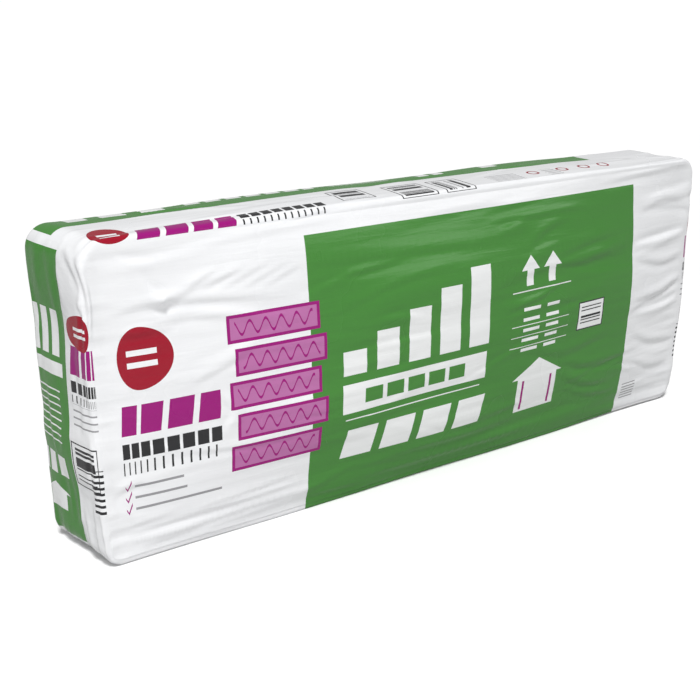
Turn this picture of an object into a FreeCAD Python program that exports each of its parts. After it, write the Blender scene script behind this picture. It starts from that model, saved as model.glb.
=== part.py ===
"""Film bag of folded and pressed glass-wool insulation batts.

The bag stands on one long narrow side.  Origin at the middle of that side, +X along
the bag's length, +Y from its broad front to its broad back, +Z up.  Millimetres.

Every batt is folded once across its length, so it lies as two leaves joined by a fold
at the -X end.  The folded batts lie flat on each other and fill the bag from floor to
top.  The bag is a closed skin around them, and the batts' outer edges are rounded by
the skin that presses them.
"""
import FreeCAD
import Part
import Sketcher
import math
import os

DIMENSIONS = (
    ("bag_length", 1220, "filled bag, end to end"),
    ("bag_width", 210, "filled bag, front to back"),
    ("bag_height", 482, "filled bag, floor to top"),
    ("long_round", 50, "rounding of the four long edges"),
    ("end_round", 42, "rounding round both end faces"),
    ("film_thickness", 1, "wall of the film skin"),
    ("side_room", 7, "film to batts at the front, the back and both ends"),
    ("top_room", 7, "film to the top batt"),
    ("floor_seat", 0.3, "film to the bottom batt"),
    ("batt_count", 16, "batts in the bag"),
    ("batt_gap", 0.3, "between one folded batt and the next"),
    ("leaf_slit", 0.8, "between the two leaves of a folded batt"),
    ("fold_length", 30, "pressed fold, from the rounded end to where the leaves part"),
)

OUTER_INSET = "0"
CAVITY_INSET = "Dimensions.film_thickness"
PACK_INSET = "(Dimensions.film_thickness + Dimensions.side_room)"
PACK_FLOOR = "(Dimensions.film_thickness + Dimensions.floor_seat)"
PACK_TOP_INSET = "(Dimensions.film_thickness + Dimensions.top_room)"
PACK_LENGTH = f"(Dimensions.bag_length - 2 * {PACK_INSET})"
PACK_WIDTH = f"(Dimensions.bag_width - 2 * {PACK_INSET})"
PACK_HEIGHT = f"(Dimensions.bag_height - {PACK_FLOOR} - {PACK_TOP_INSET})"
BATT_PITCH = f"(({PACK_HEIGHT} + Dimensions.batt_gap) / Dimensions.batt_count)"
BATT_HEIGHT = f"({BATT_PITCH} - Dimensions.batt_gap)"


def make_sheet(doc):
    """Spreadsheet of the driving dimensions: a label, a value and a note in each row."""
    sheet = doc.addObject("Spreadsheet::Sheet", "Dimensions")
    for row, (alias, value, note) in enumerate(DIMENSIONS, start=1):
        sheet.set(f"A{row}", alias)
        sheet.set(f"B{row}", str(value))
        sheet.set(f"C{row}", note)
        sheet.setAlias(f"B{row}", alias)
    doc.recompute()
    return sheet


def new_sketch(body, name, plane_role):
    """Sketch of a body, on one of its own origin planes."""
    sketch = body.newObject("Sketcher::SketchObject", name)
    planes = [item for item in body.Origin.OriginFeatures if item.Role == plane_role]
    sketch.AttachmentSupport = (planes[0], [""])
    sketch.MapMode = "FlatFace"
    return sketch


def size_constraint(sketch, name, expression, *definition):
    """Add one dimension to a sketch and bind it to the sheet."""
    index = sketch.addConstraint(Sketcher.Constraint(*definition))
    sketch.renameConstraint(index, name)
    sketch.setExpression(f"Constraints.{name}", expression)


def line(start, end):
    """Straight edge between two sketch points."""
    return Part.LineSegment(FreeCAD.Vector(*start, 0), FreeCAD.Vector(*end, 0))


def arc(centre, radius, start_angle, end_angle):
    """Circular edge, counter-clockwise between two angles in degrees."""
    circle = Part.Circle(FreeCAD.Vector(*centre, 0), FreeCAD.Vector(0, 0, 1), radius)
    return Part.ArcOfCircle(circle, math.radians(start_angle), math.radians(end_angle))


def draw_rounded_section(sketch, width, height, radius):
    """Rounded rectangle about the sketch's origin, bound to three expressions."""
    half_y, half_z, corner = 150, 200, 50
    flat_y, flat_z = half_y - corner, half_z - corner
    sketch.addGeometry([
        line((-flat_y, -half_z), (flat_y, -half_z)),
        arc((flat_y, -flat_z), corner, 270, 360),
        line((half_y, -flat_z), (half_y, flat_z)),
        arc((flat_y, flat_z), corner, 0, 90),
        line((flat_y, half_z), (-flat_y, half_z)),
        arc((-flat_y, flat_z), corner, 90, 180),
        line((-half_y, flat_z), (-half_y, -flat_z)),
        arc((-flat_y, -flat_z), corner, 180, 270),
    ])
    bottom, right, top, left = 0, 2, 4, 6
    for edge in range(8):
        sketch.addConstraint(Sketcher.Constraint("Tangent", edge, 2, (edge + 1) % 8, 1))
    for edge in (3, 5, 7):
        sketch.addConstraint(Sketcher.Constraint("Equal", 1, edge))
    for edge in (bottom, top):
        sketch.addConstraint(Sketcher.Constraint("Horizontal", edge))
    for edge in (right, left):
        sketch.addConstraint(Sketcher.Constraint("Vertical", edge))
    sizes = (
        ("corner_radius", radius, "Radius", 1, corner),
        ("full_width", width, "DistanceX", left, 1, right, 1, 2 * half_y),
        ("half_width", f"{width} / 2", "DistanceX", -1, 1, right, 1, half_y),
        ("full_height", height, "DistanceY", bottom, 1, top, 1, 2 * half_z),
        ("half_height", f"{height} / 2", "DistanceY", -1, 1, top, 1, half_z),
    )
    for definition in sizes:
        size_constraint(sketch, *definition)


def end_loop_edges(shape):
    """Names of the edges that lie wholly in one of the two end planes."""
    half = shape.BoundBox.XMax
    names = []
    for number, edge in enumerate(shape.Edges, start=1):
        box = edge.BoundBox
        if box.XLength < 1e-3 and abs(abs(box.XMin) - half) < 1e-3:
            names.append(f"Edge{number}")
    return names


def rounded_pack(doc, name, side_inset, floor_inset, top_inset):
    """Pillow-edged block that lies a set distance inside the outer face of the bag.

    The section in YZ is a rounded rectangle; it runs along X and the loops round both
    end faces are filleted.  Both roundings shrink with the side inset.
    """
    length = f"(Dimensions.bag_length - 2 * {side_inset})"
    width = f"(Dimensions.bag_width - 2 * {side_inset})"
    height = f"(Dimensions.bag_height - {floor_inset} - {top_inset})"
    body = doc.addObject("PartDesign::Body", name)
    sketch = new_sketch(body, f"{name}_section", "YZ_Plane")
    draw_rounded_section(sketch, width, height, f"Dimensions.long_round - {side_inset}")
    pad = body.newObject("PartDesign::Pad", f"{name}_run")
    pad.Profile = sketch
    pad.SideType = "Symmetric"
    pad.setExpression("Length", length)
    doc.recompute()
    fillet = body.newObject("PartDesign::Fillet", f"{name}_ends")
    fillet.Base = (pad, end_loop_edges(pad.Shape))
    fillet.setExpression("Radius", f"Dimensions.end_round - {side_inset}")
    body.setExpression("Placement.Base.z", f"{floor_inset} + {height} / 2")
    doc.recompute()
    return body


def film_bag(doc):
    """Closed film skin: the outer pack with the inner one taken out of it."""
    outer = rounded_pack(doc, "film_outside", OUTER_INSET, OUTER_INSET, OUTER_INSET)
    cavity = rounded_pack(doc, "film_inside", CAVITY_INSET, CAVITY_INSET, CAVITY_INSET)
    bag = doc.addObject("Part::Cut", "film_bag")
    bag.Base = outer
    bag.Tool = cavity
    bag.Label = "film_bag"
    return bag


def draw_folded_batt(sketch):
    """Side view of a folded batt: two leaves and the slit between them.

    The -X end is a half round, the outside of the fold.  The slit is open at the +X
    end and stops in a half round where the pressed fold begins.
    """
    half_run, half_rise, half_slit, slit_start = 500, 15, 1, -400
    fold_centre = (half_rise - half_run, 0)
    sketch.addGeometry([
        line((fold_centre[0], -half_rise), (half_run, -half_rise)),
        line((half_run, -half_rise), (half_run, -half_slit)),
        line((half_run, -half_slit), (slit_start, -half_slit)),
        arc((slit_start, 0), half_slit, 90, 270),
        line((slit_start, half_slit), (half_run, half_slit)),
        line((half_run, half_slit), (half_run, half_rise)),
        line((half_run, half_rise), (fold_centre[0], half_rise)),
        arc(fold_centre, half_rise, 90, 270),
    ])
    under, low_end, low_leaf, slit_end, high_leaf, high_end, top, fold = range(8)
    joined = (
        ("Coincident", under, 2, low_end, 1),
        ("Coincident", low_end, 2, low_leaf, 1),
        ("Tangent", low_leaf, 2, slit_end, 2),
        ("Tangent", high_leaf, 1, slit_end, 1),
        ("Coincident", high_leaf, 2, high_end, 1),
        ("Coincident", high_end, 2, top, 1),
        ("Tangent", top, 2, fold, 1),
        ("Tangent", under, 1, fold, 2),
        ("Horizontal", under),
        ("Horizontal", low_leaf),
        ("Horizontal", high_leaf),
        ("Horizontal", top),
        ("Vertical", low_end),
        ("Vertical", high_end),
        ("PointOnObject", fold, 3, -1),
        ("PointOnObject", slit_end, 3, -1),
        ("Vertical", under, 2, top, 1),
    )
    for definition in joined:
        sketch.addConstraint(Sketcher.Constraint(*definition))
    half_length = f"{PACK_LENGTH} / 2"
    fold_reach = f"{half_length} - {BATT_HEIGHT} / 2"
    slit_reach = f"{half_length} - Dimensions.end_round - Dimensions.fold_length"
    sizes = (
        ("thickness", BATT_HEIGHT, "DistanceY", under, 2, top, 1, 2 * half_rise),
        ("slit", "Dimensions.leaf_slit", "DistanceY", low_leaf, 1, high_leaf, 2, 2 * half_slit),
        ("open_end", half_length, "DistanceX", -1, 1, top, 1, half_run),
        ("fold_end", fold_reach, "DistanceX", fold, 3, -1, 1, -fold_centre[0]),
        ("slit_end", slit_reach, "DistanceX", slit_end, 3, -1, 1, -slit_start),
    )
    for definition in sizes:
        size_constraint(sketch, *definition)


def folded_batt(doc, number, pack):
    """One folded batt, lying at its place in the pile and rounded to the pack's shape."""
    body = doc.addObject("PartDesign::Body", f"pressed_batt_{number:02d}")
    sketch = new_sketch(body, f"batt_side_{number:02d}", "XZ_Plane")
    draw_folded_batt(sketch)
    pad = body.newObject("PartDesign::Pad", f"batt_run_{number:02d}")
    pad.Profile = sketch
    pad.SideType = "Symmetric"
    pad.setExpression("Length", PACK_WIDTH)
    height_in_pile = f"{BATT_HEIGHT} / 2 + {number - 1} * {BATT_PITCH}"
    body.setExpression("Placement.Base.z", f"{PACK_FLOOR} + {height_in_pile}")
    batt = doc.addObject("Part::Common", f"batt_{number:02d}")
    batt.Base = body
    batt.Tool = pack
    batt.Label = f"batt_{number:02d}"
    return batt


def check_document(doc, parts):
    """Stop unless every object recomputed and every sub-part is one valid solid."""
    for item in doc.Objects:
        if "Invalid" in item.State or "Error" in item.State:
            raise RuntimeError(f"{item.Name} did not recompute: {item.State}")
    for part in parts:
        if part.Shape.isNull() or not part.Shape.isValid() or len(part.Shape.Solids) != 1:
            raise RuntimeError(f"{part.Label} is not one valid solid")


def main():
    """Build the bag and its batts, and write each as its own STEP file."""
    doc = FreeCAD.newDocument("InsulationBag")
    sheet = make_sheet(doc)
    pack = rounded_pack(doc, "pack_shape", PACK_INSET, PACK_FLOOR, PACK_TOP_INSET)
    parts = [film_bag(doc)]
    for number in range(1, int(sheet.batt_count) + 1):
        parts.append(folded_batt(doc, number, pack))
    doc.recompute()
    check_document(doc, parts)
    os.makedirs("parts", exist_ok=True)
    for part in parts:
        part.Shape.exportStep(f"parts/{part.Label}.step")
        box = part.Shape.BoundBox
        print(f"{part.Label}: {part.Shape.Volume / 1e6:.3f} l, x {box.XMin:.1f}..{box.XMax:.1f}, "
              f"y {box.YMin:.1f}..{box.YMax:.1f}, z {box.ZMin:.1f}..{box.ZMax:.1f}")


main()
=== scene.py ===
"""Film bag of pressed glass-wool batts: the finish of the skin, its creases and the batts inside.

The bag stands on one long narrow side at z = 0, its broad printed front faces -Y and its
length runs along X.  Everything is in metres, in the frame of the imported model.

The skin is one closed surface.  Its print is laid out in the film's own two coordinates:
``u`` along the bag and ``v`` round it, from the bottom edge of the front (v = 0) up the
front, over the top and down the back.  On an end face u goes on past the bag's half length.
"""
import logging
import math
from dataclasses import dataclass, field
from enum import Enum

import bpy
import numpy as np
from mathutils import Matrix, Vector


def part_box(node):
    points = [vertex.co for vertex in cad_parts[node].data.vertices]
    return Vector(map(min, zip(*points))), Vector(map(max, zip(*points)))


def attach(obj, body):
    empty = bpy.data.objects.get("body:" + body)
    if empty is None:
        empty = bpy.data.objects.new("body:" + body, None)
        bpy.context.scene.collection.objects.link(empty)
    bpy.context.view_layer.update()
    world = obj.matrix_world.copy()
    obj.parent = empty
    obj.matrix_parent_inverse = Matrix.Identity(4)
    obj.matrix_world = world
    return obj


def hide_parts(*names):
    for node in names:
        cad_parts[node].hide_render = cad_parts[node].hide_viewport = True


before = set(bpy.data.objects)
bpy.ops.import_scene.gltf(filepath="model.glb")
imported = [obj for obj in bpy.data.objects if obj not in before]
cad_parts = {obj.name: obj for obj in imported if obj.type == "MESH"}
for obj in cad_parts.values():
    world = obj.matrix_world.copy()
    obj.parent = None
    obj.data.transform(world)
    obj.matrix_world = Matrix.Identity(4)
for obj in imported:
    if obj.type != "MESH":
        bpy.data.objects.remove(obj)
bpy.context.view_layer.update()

LOG = logging.getLogger("insulation_bag")
PRINT_MAP = "print"
BAKE_MAP = "OFBake"


# --------------------------------------------------------------------------- helpers


def smooth_step(values: np.ndarray, low: float, high: float) -> np.ndarray:
    """Rise smoothly from 0 at low to 1 at high: 3t^2 - 2t^3 of the clipped share t.

    Args:
        values: numbers to map.
        low, high: where the rise starts and ends.

    Returns:
        The risen values.
    """
    share = np.clip((values - low) / (high - low), 0.0, 1.0)
    return share * share * (3.0 - 2.0 * share)


def lattice_values(cell: np.ndarray, seed: int) -> np.ndarray:
    """Pseudo-random number for each whole-number lattice cell.

    A large-number hash of the three cell numbers and the seed, scaled to -1 .. 1.

    Args:
        cell: N x 3 whole numbers.
        seed: which field the numbers belong to.

    Returns:
        N values from -1 to 1.
    """
    mixed = cell[:, 0] * 73856093 ^ cell[:, 1] * 19349663 ^ cell[:, 2] * 83492791
    mixed = mixed ^ seed * 2654435761
    mixed = (mixed ^ (mixed >> 13)) * 1274126177 & 0xFFFFFFFF
    mixed = (mixed ^ (mixed >> 16)) & 0xFFFF
    return mixed / 32767.5 - 1.0


def value_noise(points: np.ndarray, spans: tuple[float, float, float], seed: int) -> np.ndarray:
    """Smooth random field over space, stretched differently along each axis.

    Each point's cell has eight corner values, blended by the quintic fade 6t^5 - 15t^4 + 10t^3.

    Args:
        points: N x 3 places in metres.
        spans: distance between independent values along x, y and z.
        seed: which field.

    Returns:
        N values, about -1 to 1.
    """
    scaled = points / np.array(spans) + 100.0
    cell = np.floor(scaled).astype(np.int64)
    part = scaled - cell
    fade = part * part * part * (part * (part * 6.0 - 15.0) + 10.0)
    total = np.zeros(len(points))
    for corner in range(8):
        step = np.array([corner & 1, corner >> 1 & 1, corner >> 2 & 1])
        weight = np.prod(np.where(step, fade, 1.0 - fade), axis=1)
        total += weight * lattice_values(cell + step, seed)
    return total


def ridged_noise(points: np.ndarray, spans: tuple[float, float, float], seed: int) -> np.ndarray:
    """Noise folded at zero, 1 - 2|n|, which leaves narrow raised lines between soft hollows.

    Args:
        points: N x 3 places in metres.
        spans: as in value_noise().
        seed: which field.

    Returns:
        N values, about -1 to 1.
    """
    return 1.0 - 2.0 * np.abs(value_noise(points, spans, seed))


def vertex_normals(points: np.ndarray, quads: np.ndarray) -> np.ndarray:
    """Outward unit normal at each vertex: the sum of its faces' diagonals crossed.

    Args:
        points: N x 3 places.
        quads: M x 4 vertex numbers.

    Returns:
        N x 3 unit normals.
    """
    across = points[quads[:, 2]] - points[quads[:, 0]]
    along = points[quads[:, 3]] - points[quads[:, 1]]
    normal = np.cross(across, along)
    total = np.zeros_like(points)
    for corner in range(4):
        np.add.at(total, quads[:, corner], normal)
    return total / np.linalg.norm(total, axis=1, keepdims=True)


def mesh_object(name: str, points: np.ndarray, quads: np.ndarray) -> bpy.types.Object:
    """Make a smooth-shaded mesh object at the origin from arrays of points and quads.

    Args:
        name: the object's name.
        points: N x 3 places.
        quads: M x 4 vertex numbers.

    Returns:
        The object.
    """
    mesh = bpy.data.meshes.new(name)
    mesh.vertices.add(len(points))
    mesh.vertices.foreach_set("co", points.astype(np.float32).ravel())
    mesh.loops.add(quads.size)
    mesh.loops.foreach_set("vertex_index", quads.astype(np.int32).ravel())
    mesh.polygons.add(len(quads))
    mesh.polygons.foreach_set("loop_start", np.arange(0, quads.size, 4, dtype=np.int32))
    mesh.update(calc_edges=True)
    mesh.shade_smooth()
    mesh.validate()
    piece = bpy.data.objects.new(name, mesh)
    bpy.context.scene.collection.objects.link(piece)
    return piece


def add_uv_map(piece: bpy.types.Object, name: str, corners: np.ndarray) -> None:
    """Store one u, v pair for every corner of every face under a map's name.

    Args:
        piece: the object.
        name: the map's name.
        corners: one pair for each face corner.
    """
    layer = piece.data.uv_layers.new(name=name)
    layer.data.foreach_set("uv", corners.astype(np.float32).ravel())


# --------------------------------------------------------------------------- creases


class Fade(Enum):
    """How a crease dies out along its length."""

    BOTH_ENDS = "both ends"
    FROM_START = "from start"


@dataclass(frozen=True)
class Crease:
    """One fold line in the film.

    Attributes:
        route: (u, v) points that the fold passes through.
        ridge: height of the raised line itself.
        tuck: height of the step beside it, up on the left of the route and down on the right.
        width: distance over which the fold dies away sideways.
        fade: how it dies out along its length.
    """

    route: tuple[tuple[float, float], ...]
    ridge: float
    tuck: float
    width: float
    fade: Fade = Fade.BOTH_ENDS

    def samples(self, per_span: int = 14) -> tuple[np.ndarray, np.ndarray]:
        """Points along the route on a Catmull-Rom curve, and each point's share of the length.

        Args:
            per_span: points between one given point and the next.

        Returns:
            The M x 2 points and their M shares, 0 at the start and 1 at the end.
        """
        given = np.array(self.route)
        ends = np.vstack([2 * given[0] - given[1], given, 2 * given[-1] - given[-2]])
        share = np.linspace(0.0, 1.0, per_span, endpoint=False)[:, None]
        pieces = []
        for before, start, stop, after in zip(ends, ends[1:], ends[2:], ends[3:]):
            pieces.append(0.5 * (2 * start + (stop - before) * share
                                 + (2 * before - 5 * start + 4 * stop - after) * share ** 2
                                 + (3 * start - before - 3 * stop + after) * share ** 3))
        points = np.vstack(pieces + [given[-1:]])
        run = np.concatenate([[0.0], np.cumsum(np.linalg.norm(np.diff(points, axis=0), axis=1))])
        return points, run / run[-1]

    def height(self, chart: np.ndarray) -> np.ndarray:
        """Height of the fold over the film.

        With s the distance to the route, signed by side, and w the width, the height is
        ridge * exp(-2.4 |s| / w) + tuck * (s / w) * exp(-(s / w)^2), times the fade along
        the length.

        Args:
            chart: N x 2 film coordinates.

        Returns:
            N heights in metres.
        """
        height = np.zeros(len(chart))
        points, share = self.samples()
        reach = 3.0 * self.width
        near = np.all((chart > points.min(0) - reach) & (chart < points.max(0) + reach), axis=1)
        offset = chart[near][:, None, :] - points[None, :, :]
        gap = np.linalg.norm(offset, axis=2)
        closest = gap.argmin(axis=1)
        rows = np.arange(len(closest))
        direction = np.gradient(points, axis=0)
        direction /= np.linalg.norm(direction, axis=1, keepdims=True)
        side = direction[closest]
        away = offset[rows, closest]
        signed = side[:, 0] * away[:, 1] - side[:, 1] * away[:, 0]
        along = share[closest]
        if self.fade is Fade.BOTH_ENDS:
            strength = np.sin(np.pi * np.clip(along, 0.0, 1.0)) ** 0.7
        else:
            strength = (1.0 - along) ** 1.1
        reached = gap[rows, closest] / self.width
        height[near] = strength * (self.ridge * np.exp(-2.4 * reached)
                                   + self.tuck * signed / self.width * np.exp(-reached ** 2))
        return height


@dataclass(frozen=True)
class CreaseZone:
    """Part of the film that is scattered with small stray folds.

    Attributes:
        low, high: opposite corners of the zone, in u and v.
        count: number of folds.
        upright: whether the folds run up the film and not along it.
        seed: which scatter.
    """

    low: tuple[float, float]
    high: tuple[float, float]
    count: int
    upright: bool
    seed: int

    def creases(self) -> list[Crease]:
        """Slightly bent folds at even random places, each of its own length and height.

        Returns:
            The folds.
        """
        draw = np.random.default_rng(self.seed)
        made = []
        for _ in range(self.count):
            middle = draw.uniform(self.low, self.high)
            along = draw.uniform(0.03, 0.13)
            tilt, bend = draw.normal(0.0, 0.16), draw.normal(0.0, 0.05)
            steps = np.array([(-along, -along * tilt), (0.0, along * bend), (along, along * tilt)])
            if self.upright:
                steps = steps[:, ::-1] * 0.6
            route = tuple((float(u), float(v)) for u, v in middle + steps)
            made.append(Crease(route, draw.uniform(0.0004, 0.0012),
                               draw.uniform(0.0008, 0.0026) * draw.choice((-1.0, 1.0)),
                               draw.uniform(0.006, 0.011)))
        return made


# --------------------------------------------------------------------------- skin


@dataclass
class BagSkin:
    """The film skin: a pillow-sided block with creases, as one closed surface.

    The surface is the outside of a lattice of ``cells``.  A lattice point's place in the
    unit cube goes onto a block with rounded edges, whose front and back crown outwards.
    """

    length: float
    width: float
    height: float
    edge_round: float = 0.033
    side_crown: float = 0.037
    end_crown: float = 0.006
    top_crown: float = 0.004
    oblique_end: float = 0.030
    side_shift: float = 0.014
    end_shift: float = 0.016
    cells: tuple[int, int, int] = (340, 58, 134)
    name: str = "film_skin"
    creases: tuple[Crease, ...] = field(default_factory=tuple)

    def lattice(self) -> tuple[np.ndarray, np.ndarray, np.ndarray]:
        """Lay out the lattice's outer points and faces.

        Returns:
            N x 3 cube places from -1 to 1, M x 4 vertex numbers with faces outwards, and the
            number of each face's side, in the order -X, +X, -Y, +Y, -Z, +Z.
        """
        counts = np.array(self.cells)
        corners, sides = [], []
        for axis in range(3):
            first, second = [other for other in range(3) if other != axis]
            a, b = np.meshgrid(np.arange(counts[first]), np.arange(counts[second]), indexing="ij")
            for level, side in ((0, 2 * axis), (counts[axis], 2 * axis + 1)):
                quad = np.zeros((a.size, 4, 3), dtype=np.int64)
                for corner, (da, db) in enumerate(((0, 0), (1, 0), (1, 1), (0, 1))):
                    quad[:, corner, axis] = level
                    quad[:, corner, first] = a.ravel() + da
                    quad[:, corner, second] = b.ravel() + db
                outward = (level > 0) != (axis == 1)
                corners.append(quad if outward else quad[:, ::-1])
                sides.append(np.full(a.size, side))
        quads = np.concatenate(corners)
        keys = quads @ np.array([1, 1000, 1000000])
        unique, index = np.unique(keys, return_inverse=True)
        points = np.stack([unique % 1000, unique // 1000 % 1000, unique // 1000000], axis=1)
        cube = points / counts * 2.0 - 1.0
        return cube, index.reshape(-1, 4), np.concatenate(sides)

    def form(self, cube: np.ndarray, inset: float = 0.0) -> np.ndarray:
        """Place cube points on the filled bag before it creases.

        The block's edges are rounded by pulling each point back to a core block and out again
        by the edge radius.  Then the front and back lose side_crown * (1 - (1 - x^2)(1 - z^2)),
        the ends and the top lose their own crown in the same way, each times the fourth power
        of how near the point is to that face.  Last, the front edge of the left end is drawn
        in, so that this end stands slightly oblique.

        Args:
            cube: N x 3 places in the unit cube.
            inset: how far inside the skin the surface lies.

        Returns:
            N x 3 places in metres.
        """
        half = np.array([self.length, self.width, self.height]) / 2.0 - inset
        radius = self.edge_round - inset
        flat = cube * half
        core = np.clip(flat, -(half - radius), half - radius)
        pull = flat - core
        distance = np.linalg.norm(pull, axis=1, keepdims=True)
        placed = core + pull / np.maximum(distance, 1e-9) * np.minimum(distance, radius)
        spread = 1.0 - np.clip(cube, -1.0, 1.0) ** 2
        near = (np.abs(placed) / half) ** 4
        sign = np.sign(placed)
        side_drop = self.side_crown * (1.0 - spread[:, 0] * spread[:, 2]) * near[:, 1]
        end_drop = self.end_crown * (1.0 - spread[:, 1] * spread[:, 2]) * near[:, 0]
        placed[:, 1] -= sign[:, 1] * side_drop
        placed[:, 0] -= sign[:, 0] * end_drop
        upper = placed[:, 2] > 0
        drop = self.top_crown * (1.0 - spread[:, 0] * spread[:, 1]) * near[:, 2]
        placed[:, 2] -= np.where(upper, drop, 0.0)
        beside = smooth_step(-placed[:, 0], self.length / 2.0 - 0.12, self.length / 2.0)
        front = 1.0 - smooth_step(placed[:, 1], -self.width / 2.0, self.width * 0.45)
        placed[:, 0] += self.oblique_end * beside * front
        placed[:, 2] += self.height / 2.0
        return placed

    def chart(self, cube: np.ndarray, side: np.ndarray) -> np.ndarray:
        """Film coordinates of points that lie on given sides of the lattice.

        Args:
            cube: N x 3 cube places.
            side: N side numbers, as in lattice().

        Returns:
            N x 2 values of u and v.
        """
        share = (cube + 1.0) / 2.0
        along = cube[:, 0] * self.length / 2.0
        up = share[:, 2] * self.height
        deep = share[:, 1] * self.width
        past = self.length / 2.0 + deep
        u = np.select([side == 0, side == 1], [-past, past], along)
        v = np.select([side == 3, side == 4, side == 5],
                      [2 * self.height + self.width - up, -deep, self.height + deep], up)
        return np.stack([u, v], axis=1)

    def print_corners(self, chart: np.ndarray, side: np.ndarray) -> np.ndarray:
        """Print coordinates: the back carries the front's print and the right end the left's.

        Beside the ends the print is moved outwards by up to side_shift.  On the end faces it is
        moved towards the front edge by up to end_shift, and the broad strip keeps its place.

        Args:
            chart: N x 2 film coordinates.
            side: N side numbers.

        Returns:
            N x 2 print coordinates.
        """
        u, v = chart[:, 0], chart[:, 1]
        on_back = side == 3
        folded_u = np.where(on_back | (side == 1), -u, u)
        folded_v = np.where(on_back, 2 * self.height + self.width - v, v)
        past = np.clip(-self.length / 2.0 - folded_u, 0.0, None)
        outwards = self.side_shift * smooth_step(-folded_u, 0.40, 0.53) * (past == 0.0)
        fade = 1.0 - smooth_step(past, 0.04, 0.088)
        forwards = self.end_shift * smooth_step(past, 0.0, 0.012) * fade * (past > 0.0)
        return np.stack([folded_u + outwards - forwards, folded_v], axis=1)

    def bake_corners(self, chart: np.ndarray, side: np.ndarray) -> np.ndarray:
        """Lay the film out flat in the unit square: both ends stand to the left of the wrap.

        Args:
            chart: N x 2 film coordinates.
            side: N side numbers.

        Returns:
            N x 2 places in the unit square.
        """
        margin = 0.01
        u, v = chart[:, 0].copy(), chart[:, 1].copy()
        u = np.where(side == 0, u - margin, u)
        u = np.where(side == 1, -u - margin, u)
        v = np.where(side == 1, v + self.height + margin, v)
        low = np.array([-self.length / 2 - self.width - 2 * margin, -self.width - margin])
        wide = self.length + self.width + 3 * margin
        span = max(wide, 2 * (self.height + self.width) + 2 * margin)
        return (np.stack([u, v], axis=1) - low) / span

    def relief(self, points: np.ndarray, chart: np.ndarray, side: np.ndarray) -> np.ndarray:
        """Height of the creased film over the plain form, in metres.

        The sum of broad stuffing lumps, long ripples along the bag, close lengthwise ridges
        near the lower edge, puckers that run in from both ends, gathers on the end faces and
        the single creases.

        Args:
            points: N x 3 places on the plain form.
            chart: N x 2 film coordinates.
            side: N side numbers.

        Returns:
            N heights.
        """
        broad = (side == 2) | (side == 3)
        half_length = self.length / 2.0
        end = smooth_step(np.abs(points[:, 0]), half_length - 0.055, half_length - 0.006)
        from_end = self.length / 2.0 - np.abs(points[:, 0])
        height = 0.0034 * value_noise(points, (0.24, 0.12, 0.085), 3)
        patch = smooth_step(value_noise(points, (0.20, 0.15, 0.10), 11), -0.25, 0.6)
        height += 0.0011 * patch * ridged_noise(points, (0.24, 0.06, 0.036), 5)
        height += 0.0003 * ridged_noise(points, (0.14, 0.05, 0.014), 7) * broad
        low = 1.0 - smooth_step(points[:, 2], 0.03, 0.085)
        height += 0.0016 * low * broad * ridged_noise(points, (0.26, 0.2, 0.017), 9)
        pucker = np.exp(-(from_end / 0.05) ** 2) * (1.0 - end)
        height += 0.0020 * pucker * ridged_noise(points, (0.11, 0.035, 0.024), 13)
        gathered = 0.12 + 0.88 * (1.0 - smooth_step(points[:, 2], 0.04, 0.17))
        height += 0.0017 * end * gathered * ridged_noise(points, (0.2, 0.017, 0.13), 17)
        height += 0.0024 * end * value_noise(points, (0.2, 0.045, 0.09), 19)
        for crease in self.creases:
            height += crease.height(chart)
        return height

    def build(self) -> bpy.types.Object:
        """Build the skin's mesh with its print map and its bake map.

        Returns:
            The skin, at the origin.
        """
        cube, quads, sides = self.lattice()
        plain = self.form(cube)
        order = np.array([2, 3, 1, 5, 0, 4])
        vertex_side = np.zeros(len(cube), dtype=np.int64)
        for side in np.argsort(order)[::-1]:
            vertex_side[quads[sides == side]] = side
        chart = self.chart(cube, vertex_side)
        normal = vertex_normals(plain, quads)
        placed = plain + normal * self.relief(plain, chart, vertex_side)[:, None]
        placed[:, 2] = np.maximum(placed[:, 2], 0.0)
        piece = mesh_object(self.name, placed, quads)
        corner_side = np.repeat(sides, 4)
        corner_chart = self.chart(cube[quads.ravel()], corner_side)
        add_uv_map(piece, BAKE_MAP, self.bake_corners(corner_chart, corner_side))
        add_uv_map(piece, PRINT_MAP, self.print_corners(corner_chart, corner_side))
        return piece


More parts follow.
